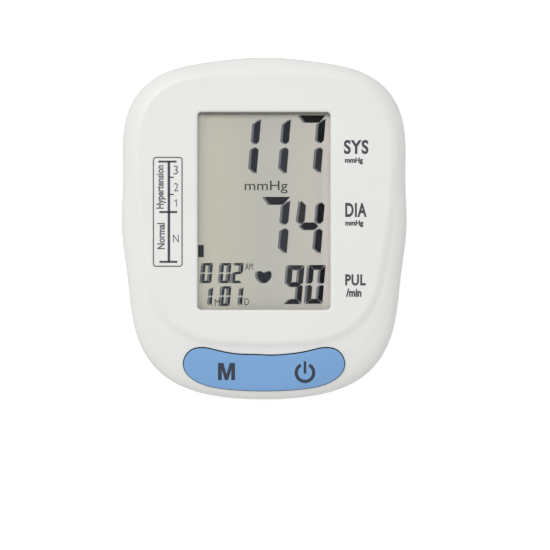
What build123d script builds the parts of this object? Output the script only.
from build123d import *
import math
import os

# Desk-top upper arm blood pressure monitor, in mm.  +X right, +Y away from the
# user, +Z up, origin on the table under the middle of the body.
# Places on the leaning display face are given as u to the right, v up the face
# (away from the user) and w out of the face, in the DECK plane.

os.makedirs("parts", exist_ok=True)

# ================================================================ main sizes
TILT = 9.0                     # display face leans towards the user, degrees
FACE_Y, FACE_Z = -1.7, 43.0    # where u = v = w = 0
WALL = 2.2                     # shell wall
SPLIT_W = -17.0                # parting plane below the face
RIM_W = -11.0                  # the rim is square to the face from here to the parting plane
SHADOW_GAP = 0.4               # visible line between the two shells
FLOOR_Z = 1.6                  # underside of the case, above the table
BASE_Z = FLOOR_Z + 0.8         # inner features of the case start here, inside its floor

# Radii of the body outline and of the raised face, every 7.5 degrees from
# the far end to the near end, about a pole 7 mm up the face.
POLE_V = 7.0
STEP_DEG = 7.5
OUTLINE_R = [56.11, 56.30, 57.04, 58.57, 60.72, 62.66, 63.35, 62.22, 59.56,
             56.37, 53.81, 52.52, 52.38, 52.83, 53.57, 54.93, 57.55, 61.52,
             66.01, 69.62, 71.41, 71.49, 70.73, 69.99, 69.71]
PLATEAU_R = [50.54, 50.87, 51.96, 53.83, 56.12, 57.93, 58.29, 56.81, 53.98,
             50.86, 48.38, 46.87, 46.09, 45.78, 45.96, 46.89, 48.66, 50.85,
             52.66, 53.39, 52.90, 51.59, 50.14, 49.08, 48.71]

# Upper skin: offset from the plateau outline, w
PLATEAU_ROWS = [(-1.2, 0.0), (-0.5, -0.06), (0.3, -0.32), (1.0, -0.72)]
CREASE_OUT, CREASE_W = 1.7, -1.16
# Upper skin: share of the way from the crease to the body outline, w
BAND_ROWS = [(0.25, -1.85), (0.5, -2.7), (0.72, -3.75), (0.87, -5.0),
             (0.96, -6.6), (1.0, -9.2)]
# Lower skin: tilt in degrees, z, y, inset from the body outline
LOWER_TOP_Z = 21.5
LOWER_ROWS = [(7.6, LOWER_TOP_Z, 1.7, 0.3), (6.0, 16.6, 2.3, 0.75),
              (4.2, 11.8, 2.8, 1.35), (2.4, 7.6, 3.1, 2.2), (1.1, 4.7, 3.1, 3.5),
              (0.35, 2.7, 3.0, 5.2), (0.0, FLOOR_Z, 2.8, 8.0)]

# Window and lens, sizes as (u, v)
WINDOW_V = 6.55                # middle of the window
WINDOW_SIZE = (48.8, 72.6)     # opening in the cover, inside its lip
# rounded lip of the opening: depth below the face, and how far it opens out
WINDOW_LIP = [(0.0, 1.0), (0.05, 0.7), (0.14, 0.42), (0.3, 0.18), (0.52, 0.04),
              (0.8, 0.0), (1.5, -0.08)]
LENS_SIZE, LENS_T = (53.0, 77.0), 1.4
LENS_SEAT_W = -1.5             # ceiling of the lens pocket
TAPE_T = 0.15

# Right half of the key, from the middle of its far edge to the middle of
# its near edge: u, v
KEY_HALF = [(0, -46.5), (9.0, -46.2), (16.5, -45.0), (23.0, -43.8),
            (27.0, -44.9), (29.0, -47.4), (29.5, -49.9), (28.7, -52.5),
            (26.2, -55.1), (22.0, -57.2), (14.8, -58.7), (7.4, -59.3)]
KEY_END = (0, -59.5)
KEY_GAP = 0.34                 # all round the key
KEY_GAP_SHIFT = 0.12           # the opening lies this much further up the face
KEY_PROUD = 0.7
KEY_TOP_T, KEY_SIDE_T = 1.6, 1.4
KEY_AXIS_V, KEY_AXIS_W = -52.5, -8.5     # rocking axis, along v's direction
KEY_POST_U = (14.2, -14.2)
DOME_MAT_T = 0.8

# Batteries, their box and its door
CELL_R, CELL_L, CELL_PITCH, CELL_Z = 7.1, 49.2, 14.8, 11.1
CELL_X = [(k - 1.5) * CELL_PITCH for k in range(4)]
BATT_X, BATT_Y0, BATT_Y1, BATT_ROOF = 30.0, -8.0, 48.0, 18.6
BATT_MID_Y = (BATT_Y0 + BATT_Y1) / 2
BOX_T = 1.6
DOOR_X, DOOR_END_Y = 31.0, 49.4
DOORWAY_X = 2 * DOOR_X + 0.5             # full width of the opening
DOORWAY_END_Y = DOOR_END_Y + 0.3
HINGE_Y, HINGE_Z, KNUCKLE_R, HINGE_PIN_R = -11.5, 3.5, 1.9, 1.0

# Fixings
SCREW_XYZ = [(37.0, -26.0, 12.0), (-37.0, -26.0, 12.0),
             (39.5, 33.0, 24.0), (-39.5, 33.0, 24.0)]     # z is the joint height
SCREW_SEAT = 2.2               # boss left between the screw head and the joint
POST_R = 3.0
FOOT_R = 4.5
FEET_XY = [(32.0, -38.0), (-32.0, -38.0), (36.5, 41.5), (-36.5, 41.5)]

# Circuit board: w of its upper face, thickness, w of its underside
PCB_W, PCB_T = -13.0, 1.6
PCB_UNDER_W = PCB_W - PCB_T
PCB_POSTS = [(32.5, 43.0), (-32.5, 43.0), (22.0, -40.5), (-22.0, -40.5)]

# Power socket in the right side, air port in the left side
USB_Y, USB_Z = 6.0, 17.25
PORT_X, PORT_Y, PORT_Z = -51.2, 6.0, 17.0      # X of the port's outer end
PORT_BODY_R, PORT_R, PORT_DEPTH = 4.0, 2.2, 10.0
FLANGE_X = -47.15

# Nipples and hoses
NIPPLE_R, NIPPLE_BORE, NIPPLE_L = 1.15, 0.5, 4.4
HOSE_R, HOSE_BORE, HOSE_BEND = 2.0, 1.2, 3.5
VALVE_NIPPLE_X, PUMP_NIPPLE_X, SENSOR_NIPPLE_X = -43.5, -39.3, -41.0   # on the port
SENSOR_U, SENSOR_V = -31.0, 22.0
SENSOR_H = 3.8
SENSOR_NIPPLE_U = SENSOR_U - 3.0

# Pump, motor and release valve
PUMP_Y, PUMP_Z = -25.0, 13.8
MOTOR_R = 9.25
SHAFT_R = 1.0
BUSH_HOLE_R = 2.6
WOBBLE_DEG = 6.0
WOBBLE_X = -7.0
CRADLE_X = 16.0
CRADLE_SIZE = (14.0, 17.0, 6.0)
VALVE_X, VALVE_Z = -39.5, 13.0
VALVE_NOZZLE_Y = -6.0

TILT_SIN, TILT_COS = math.sin(math.radians(TILT)), math.cos(math.radians(TILT))
DECK = Plane(origin=(0, FACE_Y, FACE_Z), x_dir=(1, 0, 0), z_dir=(0, -TILT_SIN, TILT_COS))
# pump and motor: local x away from the user, y up, z to the right
PUMP = Plane(origin=(0, PUMP_Y, PUMP_Z), x_dir=(0, 1, 0), z_dir=(1, 0, 0))
# release valve: local x right, y down, z away from the user
VALVE = Plane(origin=(VALVE_X, 0, VALVE_Z), x_dir=(1, 0, 0), z_dir=(0, 1, 0))


# =================================================================== helpers
def save(name, piece):
    """Write one piece to its file."""
    piece.part.label = name
    export_step(piece.part, f"parts/{name}.step")


def deck_point(u, v, w):
    """The X, Y, Z of a point given in the face's frame."""
    return (u, FACE_Y + v * TILT_COS - w * TILT_SIN, FACE_Z + v * TILT_SIN + w * TILT_COS)


def at_z(points, z):
    """Give a list of plane points a common height."""
    return [(x, y, z) for x, y in points]


def ring(radii):
    """Closed clockwise outline, mirrored left to right from one side's radii."""
    full = radii + radii[-2:0:-1]
    return [(r * math.sin(math.radians(STEP_DEG * i)),
             POLE_V + r * math.cos(math.radians(STEP_DEG * i)))
            for i, r in enumerate(full)]


def grow(points, distance):
    """Move each point of a clockwise outline outwards."""
    out = []
    for i, (x, y) in enumerate(points):
        x0, y0 = points[i - 1]
        x1, y1 = points[(i + 1) % len(points)]
        dx, dy = x1 - x0, y1 - y0
        length = math.hypot(dx, dy)
        out.append((x - dy / length * distance, y + dx / length * distance))
    return out


def mix(start, end, share):
    """Outline part of the way from one outline to another."""
    return [((1 - share) * p[0] + share * q[0], (1 - share) * p[1] + share * q[1])
            for p, q in zip(start, end)]


def closed_face(plane, points):
    """Face inside a smooth closed curve through the points."""
    with BuildSketch(plane) as sketch:
        with BuildLine():
            Spline(*points, periodic=True)
        make_face()
    return sketch.sketch


def window_rect(size, extra, radius):
    """Rounded rectangle round the window's middle, in the current sketch."""
    with Locations((0, WINDOW_V)):
        RectangleRounded(size[0] + extra, size[1] + extra, radius)


def cross_slot(length, width, depth):
    """Cut a cross into a screw head, in the current part."""
    Box(length, width, depth, mode=Mode.SUBTRACT)
    Box(width, length, depth, mode=Mode.SUBTRACT)


OUTLINE = ring(OUTLINE_R)
PLATEAU = ring(PLATEAU_R)
KEY = KEY_HALF + [KEY_END] + [(-x, y) for x, y in KEY_HALF[:0:-1]]


def upper_sections(inset, drop):
    """The upper skin: a flat raised face, a rounded crease, then a band that
    is narrow at the sides and wide in front, down to the rim."""
    outline, plateau = grow(OUTLINE, -inset), grow(PLATEAU, -0.36 * inset)
    crease = grow(plateau, CREASE_OUT)
    rows = [(grow(plateau, out), w) for out, w in PLATEAU_ROWS]
    rows.append((crease, CREASE_W))
    rows += [(mix(crease, outline, share), w) for share, w in BAND_ROWS]
    rows.append((outline, RIM_W))
    return [closed_face(DECK.offset(w - drop), points) for points, w in rows]


def lower_sections(inset, lift, top_w):
    """The lower skin: from the leaning parting plane down to the level base.
    The lift fades in over the first 14 mm below the top row."""
    rows = [(grow(OUTLINE, -inset), DECK.offset(top_w))]
    for tilt, z, y, row_inset in LOWER_ROWS:
        angle = math.radians(tilt)
        share = min(1.0, (LOWER_TOP_Z - z) / 14.0)
        plane = Plane(origin=(0, y, z + lift * share), x_dir=(1, 0, 0),
                      z_dir=(0, -math.sin(angle), math.cos(angle)))
        inset_factor = 1.0 if row_inset < 3 else 1.1
        rows.append((grow(OUTLINE, -(row_inset + inset * inset_factor)), plane))
    return [closed_face(plane, points) for points, plane in rows]


def raised(part, w):
    """A copy of a part, moved along the face's normal."""
    with BuildPart() as moved:
        with Locations(DECK.offset(w).location * DECK.location.inverse()):
            add(part)
    return moved.part


# ================================================================ upper shell
with BuildPart() as top_skin:
    loft(sections=upper_sections(0.0, 0.0))
    with BuildSketch(DECK.offset(SPLIT_W)):
        add(closed_face(Plane.XY, OUTLINE))
    extrude(amount=RIM_W - SPLIT_W)
with BuildPart() as top_core:
    loft(sections=upper_sections(WALL, WALL))
    with BuildSketch(DECK.offset(SPLIT_W - 1.0)):
        add(closed_face(Plane.XY, grow(OUTLINE, -WALL)))
    extrude(amount=RIM_W - WALL - SPLIT_W + 1.0)

key_skin = raised(top_skin.part, KEY_PROUD)
key_core = raised(top_skin.part, KEY_PROUD - KEY_TOP_T)
post_limit = raised(top_skin.part, -1.0)

with BuildPart() as cover_posts:
    # screw posts, and posts that carry the circuit board
    for x, y, z in SCREW_XYZ:
        with Locations((x, y, z + 20.0)):
            Cylinder(POST_R, 40.0)
    for u, v in PCB_POSTS:
        with BuildSketch(DECK.offset(PCB_W)):
            with Locations((u, v)):
                Circle(2.2)
        extrude(amount=16.0)
    add(post_limit, mode=Mode.INTERSECT)
    # the screw posts' lower 12 mm stay whole, whatever the trim took
    for x, y, z in SCREW_XYZ:
        with Locations((x, y, z + 6.0)):
            Cylinder(POST_R, 12.0)

with BuildPart() as cover_cuts:
    # window: a rounded lip, walls down to the lens, and the lens pocket
    for depth, out in WINDOW_LIP:
        with BuildSketch(DECK.offset(-depth)):
            window_rect(WINDOW_SIZE, 2 * out, 1.5 + out)
    loft()
    with BuildSketch(DECK):
        window_rect(WINDOW_SIZE, 2.0, 2.5)
    extrude(amount=2.0)
    with BuildSketch(DECK.offset(LENS_SEAT_W)):
        window_rect(LENS_SIZE, 0.2, 2.1)
    extrude(amount=-3.0)
    # opening for the key
    with BuildSketch(DECK.offset(-8.0)):
        add(closed_face(Plane.XY, [(u, v + KEY_GAP_SHIFT) for u, v in grow(KEY, KEY_GAP)]))
    extrude(amount=9.0)
    # pilot holes in both kinds of post
    for x, y, z in SCREW_XYZ:
        with Locations((x, y, z + 4.5)):
            Cylinder(1.3, 9.0)
    for u, v in PCB_POSTS:
        with BuildSketch(DECK.offset(PCB_W)):
            with Locations((u, v)):
                Circle(0.9)
        extrude(amount=7.5)

with BuildPart() as top_cover:
    add(top_skin.part)
    add(top_core.part, mode=Mode.SUBTRACT)
    # rabbet that takes the lower shell's tongue
    with BuildSketch(DECK.offset(SPLIT_W)):
        add(closed_face(Plane.XY, grow(OUTLINE, -1.1)))
        add(closed_face(Plane.XY, grow(OUTLINE, -3.4)), mode=Mode.SUBTRACT)
    extrude(amount=1.9, mode=Mode.SUBTRACT)
    # pad under the window, around the lens pocket
    with BuildSketch(DECK.offset(-WALL + 0.1)):
        window_rect(LENS_SIZE, 3.4, 2.5)
    extrude(amount=-0.9)
    add(cover_posts.part)
    add(cover_cuts.part, mode=Mode.SUBTRACT)
save("top_cover", top_cover)

# ================================================================ lower shell
with BuildPart() as lower_core:
    loft(sections=lower_sections(WALL, WALL, SPLIT_W + 0.5))

HINGE_BLOCK_TOP_Z = 7.6

with BuildPart() as case_adds:
    # battery box, and the block for the hinge
    with Locations((0, BATT_MID_Y, (BASE_Z + BATT_ROOF + BOX_T) / 2)):
        Box(2 * (BATT_X + BOX_T), BATT_Y1 - BATT_Y0 + 2 * BOX_T, BATT_ROOF + BOX_T - BASE_Z)
    with Locations((0, -12.0, (BASE_Z + HINGE_BLOCK_TOP_Z) / 2)):
        Box(69.0, 6.0, HINGE_BLOCK_TOP_Z - BASE_Z)
    # screw bosses
    for x, y, z in SCREW_XYZ:
        with Locations((x, y, (z + BASE_Z) / 2)):
            Cylinder(4.3, z - BASE_Z)
    # walls that hold the pump cradle, and a seat for the power board
    with Locations((CRADLE_X - 7.7, PUMP_Y, 6.0), (CRADLE_X + 7.7, PUMP_Y, 6.0)):
        Box(1.2, CRADLE_SIZE[1], 5.0)
    with Locations((38.0, USB_Y, 8.8), (46.0, USB_Y, 8.8)):
        Box(1.2, 9.0, 11.6)
    # yoke inboard of the air port's flange, and a pad under the release valve
    with Locations((-44.9, PORT_Y, 10.0)):
        Box(1.2, 12.0, 14.0)
    with Locations((VALVE_X, -15.0, 5.3)):
        Box(7.0, 8.0, 5.0)
    # seat round the air port
    with BuildSketch(Plane.YZ.offset(-50.2)):
        with Locations((PORT_Y, PORT_Z)):
            Circle(6.2)
    extrude(amount=3.0)

with BuildPart() as case_cuts:
    with Locations((0, BATT_MID_Y, (FLOOR_Z + BATT_ROOF) / 2 - 1)):
        Box(2 * BATT_X, BATT_Y1 - BATT_Y0, BATT_ROOF - FLOOR_Z + 2)
    # opening, hinge trough and pin holes for the battery door
    with Locations((0, (DOORWAY_END_Y + HINGE_Y) / 2, 1.8)):
        Box(DOORWAY_X, DOORWAY_END_Y - HINGE_Y, 3.6)
    with Locations((0, HINGE_Y, 3.5)):
        Box(DOORWAY_X, 4.3, 5.0)
    with Locations((0, HINGE_Y, HINGE_Z)):
        Cylinder(HINGE_PIN_R + 0.05, 2 * 33.2, rotation=(0, 90, 0))
    # pocket for the door's latch, the motor's saddle, and a thumb scoop
    with Locations((0, 48.85, 4.9)):
        Box(12.4, 1.8, 2.8)
    with Locations((10.0, PUMP_Y, PUMP_Z)):
        Cylinder(MOTOR_R + 0.15, 50.0, rotation=(0, 90, 0))
    with Locations((0, 53.0, 0.4)):
        Cylinder(7.0, 3.6)
    # recess for each screw head, and the hole for its shank
    for x, y, z in SCREW_XYZ:
        with Locations((x, y, (z - SCREW_SEAT) / 2)):
            Cylinder(3.2, z - SCREW_SEAT)
        with Locations((x, y, z - 1.0)):
            Cylinder(1.45, 6.0)
    with Locations(*at_z(FEET_XY, FLOOR_Z)):
        Cylinder(FOOT_R + 0.15, 1.2)
    # holes for the air port and the power socket
    with Locations((-48.0, PORT_Y, PORT_Z)):
        Cylinder(PORT_BODY_R + 0.05, 9.0, rotation=(0, 90, 0))
    with BuildSketch(Plane.YZ.offset(47.0)):
        with Locations((USB_Y, USB_Z)):
            RectangleRounded(8.1, 3.3, 0.9)
    extrude(amount=8.0)
    # slots through the end walls of the battery box for the wires
    with Locations((0, BATT_Y0 - BOX_T / 2, 16.5), (0, BATT_Y1 + BOX_T / 2, 16.5)):
        Box(3.0, 3.0, 2.0)

with BuildPart() as bottom_case:
    loft(sections=lower_sections(0.0, 0.0, SPLIT_W - SHADOW_GAP))
    add(lower_core.part, mode=Mode.SUBTRACT)
    # tongue that rises into the upper shell
    with BuildSketch(DECK.offset(SPLIT_W - 1.6)):
        add(closed_face(Plane.XY, grow(OUTLINE, -1.25)))
        add(closed_face(Plane.XY, grow(OUTLINE, -2.35)), mode=Mode.SUBTRACT)
    extrude(amount=3.4)
    add(case_adds.part)
    add(case_cuts.part, mode=Mode.SUBTRACT)
save("bottom_case", bottom_case)

with BuildPart() as battery_door:
    with BuildSketch(Plane.XY.offset(FLOOR_Z)):
        with Locations((0, (DOOR_END_Y + HINGE_Y) / 2)):
            Rectangle(2 * DOOR_X, DOOR_END_Y - HINGE_Y)
    extrude(amount=1.8)
    with Locations((0, HINGE_Y, HINGE_Z)):
        Cylinder(KNUCKLE_R, 2 * DOOR_X, rotation=(0, 90, 0))
        Cylinder(HINGE_PIN_R, 2 * 33.0, rotation=(0, 90, 0))
    # stiffening ribs between the cells, latch tongue and its nose
    with Locations(*[(x, 19.0, 3.8) for x in (-CELL_PITCH, 0, CELL_PITCH)]):
        Box(1.0, 42.0, 0.9)
    with Locations((0, 48.8, 4.3)):
        Box(11.0, 0.8, 2.2)
    with Locations((0, 49.3, 4.6)):
        Box(10.0, 0.7, 0.7)
    # shallow grip grooves on the outside
    with GridLocations(0, 1.8, 1, 5):
        with Locations((0, 38.0, FLOOR_Z)):
            Box(16.0, 0.8, 0.7, mode=Mode.SUBTRACT)
    # outer edge at the left
    chamfer(battery_door.edges().filter_by(Axis.Y)
            .filter_by_position(Axis.Z, FLOOR_Z - 0.1, FLOOR_Z + 0.1)
            .sort_by(Axis.X)[0], 0.3)
save("battery_door", battery_door)

with BuildPart() as rubber_feet:
    with Locations(*at_z(FEET_XY, 1.1)):
        Cylinder(FOOT_R, 2.2)
    chamfer(rubber_feet.edges().filter_by(GeomType.CIRCLE)
            .group_by(Axis.Z)[0], 0.5)
save("rubber_feet", rubber_feet)

with BuildPart() as case_screws:
    for x, y, z in SCREW_XYZ:
        seat = z - SCREW_SEAT
        with Locations((x, y, seat - 0.9)):
            Cylinder(2.6, 1.8)
        with Locations((x, y, seat + 4.9)):
            Cylinder(1.25, 9.9)
        with Locations((x, y, seat - 1.8)):
            cross_slot(3.2, 0.7, 1.6)
save("case_screws", case_screws)

# ===================================================================== window
with BuildPart() as display_window:
    with BuildSketch(DECK.offset(LENS_SEAT_W - TAPE_T)):
        window_rect(LENS_SIZE, 0.0, 2.0)
    extrude(amount=-LENS_T)
save("display_window", display_window)

with BuildPart() as window_tape:
    with BuildSketch(DECK.offset(LENS_SEAT_W)):
        window_rect(LENS_SIZE, 0.0, 2.0)
        with Locations((0, WINDOW_V - 0.6)):
            RectangleRounded(48.8, 71.6, 1.0, mode=Mode.SUBTRACT)
    extrude(amount=-TAPE_T)
save("window_tape", window_tape)

# ======================================================================== key
with BuildPart() as key_shell:
    with BuildSketch(DECK.offset(-7.0)):
        add(closed_face(Plane.XY, KEY))
    extrude(amount=9.0)
    add(key_skin, mode=Mode.INTERSECT)
    with BuildPart(mode=Mode.PRIVATE) as hollow:
        with BuildSketch(DECK.offset(-7.1)):
            add(closed_face(Plane.XY, grow(KEY, -KEY_SIDE_T)))
        extrude(amount=9.0)
        add(key_core, mode=Mode.INTERSECT)
    add(hollow.part, mode=Mode.SUBTRACT)

with BuildPart(DECK) as key_underside:
    # rocking web and shaft, and the two posts that press the domes
    with Locations((0, -52.7, -5.6)):
        Box(1.6, 5.4, 6.0)
    with Locations((0, KEY_AXIS_V + 0.2, KEY_AXIS_W)):
        Cylinder(1.2, 9.4, rotation=(90, 0, 0))
    with Locations(*[(u, KEY_AXIS_V, -6.1) for u in KEY_POST_U]):
        Cylinder(2.0, 7.0)

with BuildPart() as key_bar:
    add(key_shell.part)
    with BuildPart(mode=Mode.PRIVATE) as kept:
        add(key_underside.part)
        add(key_skin, mode=Mode.INTERSECT)
    add(kept.part)
save("key_bar", key_bar)

with BuildPart(DECK) as key_cradle:
    CRADLE_V = -52.3
    with Locations((0, CRADLE_V, -12.4)):
        Box(6.0, 9.0, 1.2)
    with Locations((0, -56.2, -10.1), (0, -48.9, -10.1)):
        Box(5.0, 1.4, 5.0)
    # bearing for the shaft, open at the top
    with Locations((0, CRADLE_V, KEY_AXIS_W)):
        Cylinder(1.25, 12.0, rotation=(90, 0, 0), mode=Mode.SUBTRACT)
    with Locations((0, CRADLE_V, KEY_AXIS_W + 1.4)):
        Box(1.9, 12.0, 2.0, mode=Mode.SUBTRACT)
save("key_cradle", key_cradle)

with BuildPart(DECK) as key_dome_mat:
    with BuildSketch(DECK.offset(PCB_W)):
        with Locations((0, -51.3)):
            RectangleRounded(44.0, 11.0, 2.0)
        with Locations((0, -52.6)):
            Rectangle(6.6, 9.9, mode=Mode.SUBTRACT)
    extrude(amount=DOME_MAT_T)
    for u in KEY_POST_U:
        with Locations((u, KEY_AXIS_V, PCB_W + DOME_MAT_T + 1.0)):
            Cone(3.9, 2.6, 2.0)
        with Locations((u, KEY_AXIS_V, PCB_W + 1.0)):
            Cone(3.2, 2.0, 2.0, mode=Mode.SUBTRACT)
save("key_dome_mat", key_dome_mat)

with BuildPart(DECK) as key_contacts:
    # two discs, each split along v
    with Locations(*[(u, KEY_AXIS_V, PCB_W + 0.05) for u in KEY_POST_U]):
        Cylinder(2.6, 0.1)
        Box(0.4, 6.0, 0.3, mode=Mode.SUBTRACT)
save("key_contacts", key_contacts)

# ==================================================================== display
LCD_V = WINDOW_V - 2.5         # the front glass and the frame sit a little lower
LCD_FRAME_W = -3.4             # top of the frame
FRONT_GLASS_W, REAR_GLASS_W, REFLECTOR_W = -3.65, -4.8, -5.95      # tops
GLASS_U, FRONT_GLASS_V, REAR_GLASS_V, GLASS_T = 52.0, 79.0, 74.0, 1.1
REFLECTOR_T = 0.3
TRAY_W = -7.0                  # middle of the shelf inside the frame

with BuildPart(DECK) as lcd_front_glass:
    with Locations((0, LCD_V, FRONT_GLASS_W - GLASS_T / 2)):
        Box(GLASS_U, FRONT_GLASS_V, GLASS_T)
save("lcd_front_glass", lcd_front_glass)

with BuildPart(DECK) as lcd_rear_glass:
    with Locations((0, WINDOW_V, REAR_GLASS_W - GLASS_T / 2)):
        Box(GLASS_U, REAR_GLASS_V, GLASS_T)
save("lcd_rear_glass", lcd_rear_glass)

with BuildPart(DECK) as lcd_reflector:
    with Locations((0, WINDOW_V, REFLECTOR_W - REFLECTOR_T / 2)):
        Box(GLASS_U - 1.0, REAR_GLASS_V - 1.0, REFLECTOR_T)
save("lcd_reflector", lcd_reflector)

with BuildPart(DECK) as lcd_frame:
    with Locations((0, LCD_V, (LCD_FRAME_W + PCB_W) / 2)):
        Box(GLASS_U + 4.0, FRONT_GLASS_V + 4.0, LCD_FRAME_W - PCB_W)
        Box(GLASS_U + 0.4, FRONT_GLASS_V + 0.4, LCD_FRAME_W - PCB_W + 1, mode=Mode.SUBTRACT)
    with Locations((0, WINDOW_V, TRAY_W)):
        Box(53.0, 74.4, 1.2)
    with Locations((0, WINDOW_V, TRAY_W)):
        Box(30.0, 50.0, 2.0, mode=Mode.SUBTRACT)
save("lcd_frame", lcd_frame)

with BuildPart(DECK) as lcd_connector:
    with Locations((0, WINDOW_V - 39.9, (REAR_GLASS_W + PCB_W) / 2)):
        Box(48.0, 2.2, REAR_GLASS_W - PCB_W)
save("lcd_connector", lcd_connector)

# ================================================================ electronics
with BuildPart() as main_pcb:
    with BuildSketch(DECK.offset(PCB_UNDER_W)):
        with Locations((0, 15.0)):
            RectangleRounded(72.0, 66.0, 2.0)
        with Locations((0, -36.75)):
            RectangleRounded(62.0, 41.5, 11.0)
        with Locations((0, -24.0)):
            Rectangle(62.0, 16.0)
        with Locations(*PCB_POSTS):
            Circle(1.2, mode=Mode.SUBTRACT)
    extrude(amount=PCB_T)
save("main_pcb", main_pcb)

with BuildPart(DECK) as pcb_screws:
    for u, v in PCB_POSTS:
        with Locations((u, v, PCB_UNDER_W - 0.65)):
            Cylinder(2.0, 1.3)
        with Locations((u, v, PCB_UNDER_W + 3.5)):
            Cylinder(0.85, 7.0)
        with Locations((u, v, PCB_UNDER_W - 1.3)):
            cross_slot(2.4, 0.5, 1.0)
save("pcb_screws", pcb_screws)

# Everything below hangs from the underside of the board.
CHIP_U, CHIP_V = 2.0, 20.0
CHIP_SIDE, CHIP_T = 12.0, 1.4
LEAD_BAR_OUT, LEAD_OUT = 6.4, 6.7        # from the chip's middle
LEAD_PITCH, LEADS_PER_SIDE = 2, 6

with BuildPart(DECK) as controller_chip:
    with Locations((CHIP_U, CHIP_V, PCB_UNDER_W - 0.2 - CHIP_T / 2)):
        Box(CHIP_SIDE, CHIP_SIDE, CHIP_T)
save("controller_chip", controller_chip)

with BuildPart(DECK) as chip_leads:
    # four combs of leads, each joined by a bar along the chip's edge
    bar_w, lead_w = PCB_UNDER_W - 0.1, PCB_UNDER_W - 0.4
    with Locations((CHIP_U, CHIP_V + LEAD_BAR_OUT, bar_w), (CHIP_U, CHIP_V - LEAD_BAR_OUT, bar_w)):
        Box(10.4, 0.5, 0.2)
    with Locations((CHIP_U + LEAD_BAR_OUT, CHIP_V, bar_w), (CHIP_U - LEAD_BAR_OUT, CHIP_V, bar_w)):
        Box(0.5, 10.4, 0.2)
    for k in range(LEADS_PER_SIDE):
        along = (k - (LEADS_PER_SIDE - 1) / 2) * LEAD_PITCH
        with Locations((CHIP_U + along, CHIP_V + LEAD_OUT, lead_w),
                       (CHIP_U + along, CHIP_V - LEAD_OUT, lead_w)):
            Box(0.6, 1.4, 0.8)
        with Locations((CHIP_U + LEAD_OUT, CHIP_V + along, lead_w),
                       (CHIP_U - LEAD_OUT, CHIP_V + along, lead_w)):
            Box(1.4, 0.6, 0.8)
save("chip_leads", chip_leads)

# Small parts: u, v, size along u, size along v, height
BOARD_PARTS = [(16, 14, 2.0, 1.2, 0.6), (16, 18, 2.0, 1.2, 0.6),
               (-13, 30, 2.0, 1.2, 0.6), (-17, 12, 1.2, 2.0, 0.7),
               (4, 34, 2.9, 1.6, 1.1), (-10, 2, 4.9, 3.9, 1.5),
               (10, 2, 2.9, 1.6, 1.1), (-4, -10, 2.0, 1.2, 0.6)]

with BuildPart(DECK) as board_parts:
    for u, v, size_u, size_v, height in BOARD_PARTS:
        with Locations((u, v, PCB_UNDER_W - height / 2)):
            Box(size_u, size_v, height)
save("board_parts", board_parts)

with BuildPart(DECK) as crystal:
    with BuildSketch(DECK.offset(PCB_UNDER_W)):
        with Locations((-10.0, 20.0)):
            SlotOverall(10.2, 3.8, rotation=90)
    extrude(amount=-3.0)
save("crystal", crystal)

with BuildPart(DECK) as capacitor:
    with Locations((24.0, 8.0, PCB_UNDER_W - 2.75)):
        Cylinder(3.0, 5.5)
    fillet(capacitor.edges().filter_by(GeomType.CIRCLE).sort_by(Axis.Z)[0], 0.4)
save("capacitor", capacitor)

with BuildPart(DECK) as buzzer:
    with Locations((22.0, 27.0, PCB_UNDER_W - 2.2)):
        Cylinder(6.0, 4.4)
    with Locations((22.0, 27.0, PCB_UNDER_W - 4.4)):
        Cylinder(1.0, 2.0, mode=Mode.SUBTRACT)
save("buzzer", buzzer)

with BuildPart(DECK) as pressure_sensor:
    with Locations((SENSOR_U, SENSOR_V, PCB_UNDER_W - SENSOR_H / 2)):
        Box(9.0, 9.0, SENSOR_H)
    with Locations((SENSOR_NIPPLE_U, SENSOR_V, PCB_UNDER_W - SENSOR_H - NIPPLE_L / 2)):
        Cylinder(NIPPLE_R, NIPPLE_L)
        Cylinder(NIPPLE_BORE, NIPPLE_L + 0.2, mode=Mode.SUBTRACT)
save("pressure_sensor", pressure_sensor)

with BuildPart() as power_board:
    with Locations((41.6, USB_Y, 15.2)):
        Box(13.2, 12.0, 1.2)
save("power_board", power_board)

SOCKET_X = 51.0                # open end of the power socket

with BuildPart() as power_socket:
    with BuildSketch(Plane.YZ.offset(SOCKET_X)):
        with Locations((USB_Y, USB_Z)):
            RectangleRounded(7.6, 2.8, 0.7)
    extrude(amount=-7.0)
    with BuildSketch(Plane.YZ.offset(SOCKET_X)):
        with Locations((USB_Y, USB_Z)):
            RectangleRounded(7.0, 2.2, 0.5)
    extrude(amount=-6.4, mode=Mode.SUBTRACT)
    # tongue inside the socket
    with Locations((47.4, USB_Y, USB_Z + 0.35)):
        Box(6.0, 4.4, 0.6)
save("power_socket", power_socket)

# =================================================================== air port
NIPPLE_OUT = 4.6               # middle of each nipple, from the port's axis
NIPPLE_BORE_L = 8.4            # bores start on the port's axis

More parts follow.
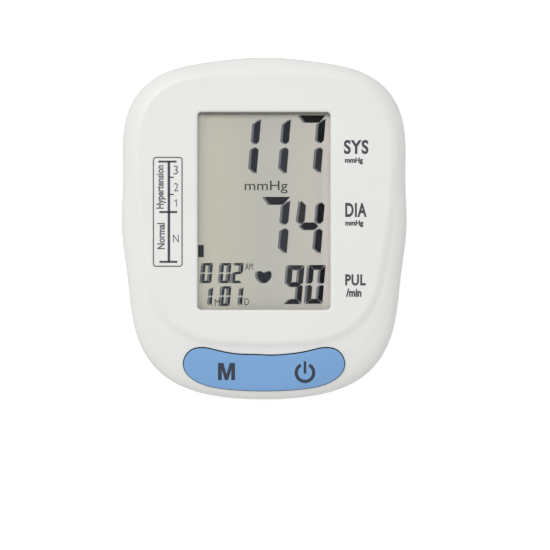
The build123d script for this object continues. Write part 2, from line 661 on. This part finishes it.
with BuildPart() as air_port:
    # socket for the cuff's plug, closed at its inner end, with three nipples
    with BuildSketch(Plane.YZ.offset(PORT_X)):
        with Locations((PORT_Y, PORT_Z)):
            Circle(PORT_BODY_R)
    extrude(amount=13.0)
    with BuildSketch(Plane.YZ.offset(FLANGE_X)):
        with Locations((PORT_Y, PORT_Z)):
            Circle(5.2)
    extrude(amount=1.6)
    with Locations((VALVE_NIPPLE_X, PORT_Y, PORT_Z + NIPPLE_OUT),
                   (PUMP_NIPPLE_X, PORT_Y, PORT_Z + NIPPLE_OUT)):
        Cylinder(NIPPLE_R, NIPPLE_L)
    with Locations((SENSOR_NIPPLE_X, PORT_Y + NIPPLE_OUT, PORT_Z)):
        Cylinder(NIPPLE_R, NIPPLE_L, rotation=(90, 0, 0))
    with Locations((PORT_X + PORT_DEPTH / 2, PORT_Y, PORT_Z)):
        Cylinder(PORT_R, PORT_DEPTH, rotation=(0, 90, 0), mode=Mode.SUBTRACT)
    # narrow bore on from the socket, then the bores of the nipples
    with Locations((-40.4, PORT_Y, PORT_Z)):
        Cylinder(0.9, 3.2, rotation=(0, 90, 0), mode=Mode.SUBTRACT)
    for x in (PUMP_NIPPLE_X, VALVE_NIPPLE_X):
        with Locations((x, PORT_Y, PORT_Z + NIPPLE_BORE_L / 2)):
            Cylinder(NIPPLE_BORE, NIPPLE_BORE_L, mode=Mode.SUBTRACT)
    with Locations((SENSOR_NIPPLE_X, PORT_Y + NIPPLE_BORE_L / 2, PORT_Z)):
        Cylinder(NIPPLE_BORE, NIPPLE_BORE_L, rotation=(90, 0, 0), mode=Mode.SUBTRACT)
save("air_port", air_port)

# ====================================================================== motor
with BuildPart(PUMP) as motor_can:
    with Locations((0, 0, 16.0)):
        Cylinder(MOTOR_R, 24.0)
    with Locations((0, 0, 17.0)):
        Cylinder(MOTOR_R - 1.0, 24.0, mode=Mode.SUBTRACT)
    with Locations((0, 0, 4.5)):
        Cylinder(BUSH_HOLE_R, 2.0, mode=Mode.SUBTRACT)
save("motor_can", motor_can)

with BuildPart(PUMP) as motor_magnets:
    with BuildSketch(PUMP.offset(8.0)):
        Circle(8.2)
        Circle(6.8, mode=Mode.SUBTRACT)
        Rectangle(5.0, 20.0, mode=Mode.SUBTRACT)
    extrude(amount=16.0)
save("motor_magnets", motor_magnets)

with BuildPart(PUMP) as motor_bushes:
    with Locations((0, 0, 5.0), (0, 0, 28.9)):
        Cylinder(BUSH_HOLE_R - 0.05, 2.0)
        Cylinder(SHAFT_R + 0.03, 2.2, mode=Mode.SUBTRACT)
save("motor_bushes", motor_bushes)

with BuildPart(PUMP) as motor_end_cap:
    with Locations((0, 0, 28.4)):
        Cylinder(8.2, 0.8)
    with Locations((0, 0, 28.9)):
        Cylinder(8.9, 1.6)
        Cylinder(BUSH_HOLE_R, 4.0, mode=Mode.SUBTRACT)
    with Locations((0, 0, 27.6)):
        Cylinder(8.2, 1.0)
        Cylinder(BUSH_HOLE_R, 1.4, mode=Mode.SUBTRACT)
save("motor_end_cap", motor_end_cap)

with BuildPart(PUMP) as motor_terminals:
    with Locations((0, 6.0, 30.9), (0, -6.0, 30.9)):
        Box(2.0, 0.5, 2.4)
save("motor_terminals", motor_terminals)

with BuildPart(PUMP) as motor_shaft:
    with Locations((0, 0, 15.35)):
        Cylinder(SHAFT_R, 29.3)
save("motor_shaft", motor_shaft)

POLE_ARM_R = 4.2               # middle of each pole's arm, from the shaft's axis

with BuildPart(PUMP) as rotor_core:
    # three-pole stack: a ring cut into three shoes, joined to a hub by arms
    with BuildSketch(PUMP.offset(9.5)):
        Circle(6.4)
        Circle(5.2, mode=Mode.SUBTRACT)
        Circle(3.2)
        with PolarLocations(POLE_ARM_R, 3):
            Rectangle(3.4, 2.2)
        with PolarLocations(6.0, 3, 60):
            Rectangle(3.0, 1.2, mode=Mode.SUBTRACT)
        Circle(SHAFT_R, mode=Mode.SUBTRACT)
    extrude(amount=12.0)
save("rotor_core", rotor_core)

with BuildPart(PUMP) as rotor_windings:
    with BuildSketch(PUMP.offset(8.7)):
        Circle(5.1)
        Circle(3.3, mode=Mode.SUBTRACT)
        with PolarLocations(POLE_ARM_R, 3):
            Rectangle(3.6, 2.3, mode=Mode.SUBTRACT)
        with PolarLocations(POLE_ARM_R, 3, 60):
            Rectangle(3.6, 0.6, mode=Mode.SUBTRACT)
    extrude(amount=13.6)
save("rotor_windings", rotor_windings)

with BuildPart(PUMP) as motor_commutator:
    with Locations((0, 0, 24.9)):
        Cylinder(2.6, 3.4)
        Cylinder(SHAFT_R, 3.6, mode=Mode.SUBTRACT)
        with PolarLocations(2.6, 3):
            Box(1.2, 0.3, 3.6, mode=Mode.SUBTRACT)
save("motor_commutator", motor_commutator)

# ======================================================================= pump
# The wobble plate's frame, turned off the pump's axis about Y.
wobble_angle = math.radians(WOBBLE_DEG)
WOBBLE = Plane(origin=(WOBBLE_X, PUMP_Y, PUMP_Z), x_dir=(0, 1, 0),
               z_dir=(math.cos(wobble_angle), 0, math.sin(wobble_angle)))
CRANK_PIN_R = 0.6
CHAMBER_OUT = 4.6              # the three chambers, from the pump's axis
BLOCK_SIDE, BLOCK_CORNER = 19.0, 3.0     # the pump's square section
BLOCK_SCREWS = [(a, b) for a in (-7.7, 7.7) for b in (-7.7, 7.7)]

with BuildPart(WOBBLE) as crank_pin:
    with Locations((0, 0, 4.4)):
        Cylinder(CRANK_PIN_R, 6.2)
save("crank_pin", crank_pin)

with BuildPart(PUMP) as eccentric_blank:
    with Locations((0, 0, 0.4)):
        Cylinder(4.6, 4.0)
    with Locations((0, 0, 1.7)):
        Cylinder(SHAFT_R, 2.0, mode=Mode.SUBTRACT)

with BuildPart() as pump_eccentric:
    add(eccentric_blank.part)
    add(crank_pin.part, mode=Mode.SUBTRACT)
save("pump_eccentric", pump_eccentric)

with BuildPart(WOBBLE) as wobble_plate:
    with Locations((0, 0, 3.0)):
        Cylinder(6.6, 1.2)
    with Locations((0, 0, 3.2)):
        Cylinder(2.2, 2.4)
    with PolarLocations(6.4, 3, 60):
        with Locations((0, 0, 3.0)):
            Cylinder(1.6, 3.0, mode=Mode.SUBTRACT)
    with Locations((0, 0, 3.2)):
        Cylinder(CRANK_PIN_R + 0.04, 6.0, mode=Mode.SUBTRACT)
save("wobble_plate", wobble_plate)

with BuildPart(PUMP) as pump_crankcase:
    with BuildSketch(PUMP.offset(-8.0)):
        RectangleRounded(BLOCK_SIDE, BLOCK_SIDE, BLOCK_CORNER)
    extrude(amount=12.0)
    with Locations((0, 0, -3.0)):
        Cylinder(8.2, 11.0, mode=Mode.SUBTRACT)
    with Locations((0, 0, 3.0)):
        Cylinder(3.0, 3.0, mode=Mode.SUBTRACT)
    with Locations(*at_z(BLOCK_SCREWS, -5.0)):
        Cylinder(0.7, 6.1, mode=Mode.SUBTRACT)
save("pump_crankcase", pump_crankcase)

with BuildPart(PUMP) as pump_diaphragm:
    with BuildSketch(PUMP.offset(-9.0)):
        RectangleRounded(BLOCK_SIDE, BLOCK_SIDE, BLOCK_CORNER)
        with Locations(*BLOCK_SCREWS):
            Circle(0.8, mode=Mode.SUBTRACT)
    extrude(amount=1.0)
    # three cups, each with a stem
    with PolarLocations(CHAMBER_OUT, 3):
        with Locations((0, 0, -7.3)):
            Cylinder(2.5, 1.4)
        with Locations((0, 0, -6.2)):
            Cylinder(1.0, 1.6)
        with Locations((0, 0, -8.3)):
            Cylinder(1.9, 2.0, mode=Mode.SUBTRACT)
save("pump_diaphragm", pump_diaphragm)

with BuildPart(PUMP) as pump_valve_plate:
    with BuildSketch(PUMP.offset(-12.0)):
        RectangleRounded(BLOCK_SIDE, BLOCK_SIDE, BLOCK_CORNER)
        with Locations(*BLOCK_SCREWS):
            Circle(0.8, mode=Mode.SUBTRACT)
        with PolarLocations(CHAMBER_OUT, 3):
            Circle(0.6, mode=Mode.SUBTRACT)
        Circle(0.55, mode=Mode.SUBTRACT)
    extrude(amount=3.0)
save("pump_valve_plate", pump_valve_plate)

with BuildPart(PUMP) as check_valve:
    with Locations((0, 0, -12.25)):
        Cylinder(3.0, 0.5)
    with Locations((0, 0, -11.2)):
        Cylinder(0.5, 2.0)
save("check_valve", check_valve)

with BuildPart(PUMP) as pump_head:
    with BuildSketch(PUMP.offset(-16.0)):
        RectangleRounded(BLOCK_SIDE, BLOCK_SIDE, BLOCK_CORNER)
    extrude(amount=4.0)
    with Locations((0, 0, -13.2)):
        Cylinder(5.6, 2.6, mode=Mode.SUBTRACT)
    # outlet nipple and the collar at its root
    with Locations((0, 0, -19.0)):
        Cylinder(NIPPLE_R, 6.2)
    with Locations((0, 0, -18.0)):
        Cylinder(NIPPLE_BORE, 9.0, mode=Mode.SUBTRACT)
    with Locations((0, 0, -16.6)):
        Cylinder(2.6, 1.4)
        Cylinder(NIPPLE_BORE, 3.0, mode=Mode.SUBTRACT)
    with Locations(*at_z(BLOCK_SCREWS, -14.0)):
        Cylinder(0.8, 4.2, mode=Mode.SUBTRACT)
save("pump_head", pump_head)

with BuildPart(PUMP) as pump_screws:
    for x, y in BLOCK_SCREWS:
        with Locations((x, y, -16.5)):
            Cylinder(1.5, 1.0)
        with Locations((x, y, -9.2)):
            Cylinder(0.66, 13.6)
        with Locations((x, y, -17.0)):
            cross_slot(2.0, 0.4, 0.8)
save("pump_screws", pump_screws)

with BuildPart() as pump_cradle:
    # rubber saddle between the motor and the lower shell
    with Locations((CRADLE_X, PUMP_Y, 6.9)):
        Box(*CRADLE_SIZE)
    with Locations((CRADLE_X, PUMP_Y, PUMP_Z)):
        Cylinder(MOTOR_R + 0.02, 16.0, rotation=(0, 90, 0), mode=Mode.SUBTRACT)
save("pump_cradle", pump_cradle)

# ============================================================== release valve
VALVE_SIDE = 9.4               # width of the frame and of the nozzle block
FRAME_ENDS = (-21.0, -9.6)     # near and far end plates, along the valve's axis
COIL_MID = -15.3

with BuildPart(VALVE) as valve_frame:
    with Locations((0, 4.7, COIL_MID)):
        Box(VALVE_SIDE, 1.0, 12.4)
    with Locations(*[(0, 0, z) for z in FRAME_ENDS]):
        Box(VALVE_SIDE, 10.4, 1.0)
    with Locations((0, 0, FRAME_ENDS[1])):
        Cylinder(2.25, 2.0, mode=Mode.SUBTRACT)
save("valve_frame", valve_frame)

with BuildPart(VALVE) as valve_bobbin:
    with Locations((0, 0, COIL_MID)):
        Cylinder(2.9, 10.3)
    with Locations((0, 0, -19.95), (0, 0, -10.65)):
        Cylinder(4.1, 1.0)
    with Locations((0, 0, -15.0)):
        Cylinder(2.05, 12.0, mode=Mode.SUBTRACT)
save("valve_bobbin", valve_bobbin)

with BuildPart(VALVE) as valve_coil:
    with Locations((0, 0, COIL_MID)):
        Cylinder(3.95, 8.2)
        Cylinder(2.95, 8.4, mode=Mode.SUBTRACT)
save("valve_coil", valve_coil)

with BuildPart(VALVE) as valve_plunger:
    with Locations((0, 0, -14.1)):
        Cylinder(2.0, 9.4)
    with Locations((0, 0, -9.1)):
        Cylinder(1.2, 0.8)
save("valve_plunger", valve_plunger)

with BuildPart(VALVE) as valve_seal:
    with Locations((0, 0, -8.35)):
        Cylinder(1.8, 0.7)
save("valve_seal", valve_seal)

with BuildPart(VALVE) as valve_nozzle:
    with Locations((0, 0, VALVE_NOZZLE_Y)):
        Box(VALVE_SIDE, 8.2, 2.4)
    # upright nipple, its bore, and the seat hole that faces the seal
    with Locations((0, -6.7, VALVE_NOZZLE_Y)):
        Cylinder(NIPPLE_R, 5.4, rotation=(90, 0, 0))
    with Locations((0, -3.9, VALVE_NOZZLE_Y)):
        Cylinder(NIPPLE_BORE, 12.0, rotation=(90, 0, 0), mode=Mode.SUBTRACT)
    with Locations((0, 0, -6.9)):
        Cylinder(0.6, 1.8, mode=Mode.SUBTRACT)
    # foot under the block, reaching towards the frame
    with Locations((0, 4.6, -7.0)):
        Box(6.0, 1.2, 4.1)
save("valve_nozzle", valve_nozzle)

# ================================================================== batteries
with BuildPart() as aa_batteries:
    # the first and third cells point away from the user, the others towards
    for k, x in enumerate(CELL_X):
        way = 1 if k % 2 == 0 else -1
        y = BATT_MID_Y + way * 1.6
        with Locations((x, y, CELL_Z)):
            Cylinder(CELL_R, CELL_L, rotation=(90, 0, 0))
        with Locations((x, y + way * (CELL_L / 2 + 0.55), CELL_Z)):
            Cylinder(2.7, 1.1, rotation=(90, 0, 0))
    fillet(aa_batteries.edges().filter_by(GeomType.CIRCLE)
           .filter_by(lambda e: abs(e.radius - CELL_R) < 0.01), 0.5)
save("aa_batteries", aa_batteries)

CONTACT_T = 0.4
SINGLE_W, DOUBLE_W = 13.0, 27.6          # contacts for one cell and for two
# y, then (place in cell pitches, width) of each contact on that wall
CONTACT_ROWS = [
    (BATT_Y0 + CONTACT_T / 2, [(-1.5, SINGLE_W), (0, DOUBLE_W), (1.5, SINGLE_W)]),
    (BATT_Y1 - CONTACT_T / 2, [(-1, DOUBLE_W), (1, DOUBLE_W)]),
]

with BuildPart() as battery_contacts:
    for y, contacts in CONTACT_ROWS:
        for pitches, width in contacts:
            with Locations((pitches * CELL_PITCH, y, CELL_Z)):
                Box(width, CONTACT_T, 11.0)
save("battery_contacts", battery_contacts)

with BuildPart() as spring:
    with BuildLine() as coil:
        Helix(pitch=1.12, height=3.7, radius=4.2, direction=(0, 1, 0),
              cone_angle=-20)
    with BuildSketch(Plane(origin=coil.line @ 0, z_dir=coil.line % 0)):
        Circle(0.34)
    sweep(path=coil.line, is_frenet=True)

SPRING_OFF = 0.76              # start of the spring's wire, from the end wall

with BuildPart() as battery_springs:
    # every second cell is turned round, and its spring with it
    for k, x in enumerate(CELL_X):
        if k % 2 == 0:
            with Locations((x, BATT_Y0 + SPRING_OFF, CELL_Z)):
                add(spring.part)
        else:
            with Locations(Location((x, BATT_Y1 - SPRING_OFF, CELL_Z), (0, 0, 180))):
                add(spring.part)
save("battery_springs", battery_springs)


# ====================================================================== hoses
def hose(points):
    """A builder holding a tube along a polyline with rounded bends."""
    with BuildPart() as tube:
        with BuildLine() as path:
            FilletPolyline(*points, radius=HOSE_BEND)
        with BuildSketch(Plane(origin=path.line @ 0, z_dir=path.line % 0)):
            Circle(HOSE_R)
            Circle(HOSE_BORE, mode=Mode.SUBTRACT)
        sweep(path=path.line)
    return tube


PORT_HOSE_Z = PORT_Z + 4.3     # lower ends of the hoses on the port's upright nipples

valve_hose = hose([(VALVE_NIPPLE_X, PORT_Y, PORT_HOSE_Z), (VALVE_NIPPLE_X, PORT_Y, 28.5),
                   (VALVE_X, VALVE_NOZZLE_Y, 28.0), (VALVE_X, VALVE_NOZZLE_Y, VALVE_Z + 4.3)])
save("valve_hose", valve_hose)

pump_hose = hose([(PUMP_NIPPLE_X, PORT_Y, PORT_HOSE_Z), (PUMP_NIPPLE_X, PORT_Y, 28.4),
                  (-33.8, -4.0, 24.2), (-32.5, -16.0, 19.5),
                  (-30.0, PUMP_Y, PUMP_Z), (-17.5, PUMP_Y, PUMP_Z)])
save("pump_hose", pump_hose)

sensor_hose = hose([(SENSOR_NIPPLE_X, PORT_Y + 4.1, PORT_Z), (SENSOR_NIPPLE_X, 17.0, PORT_Z),
                    deck_point(SENSOR_NIPPLE_U, SENSOR_V, PCB_UNDER_W - 13.0),
                    deck_point(SENSOR_NIPPLE_U, SENSOR_V, PCB_UNDER_W - SENSOR_H - 0.1)])
save("sensor_hose", sensor_hose)
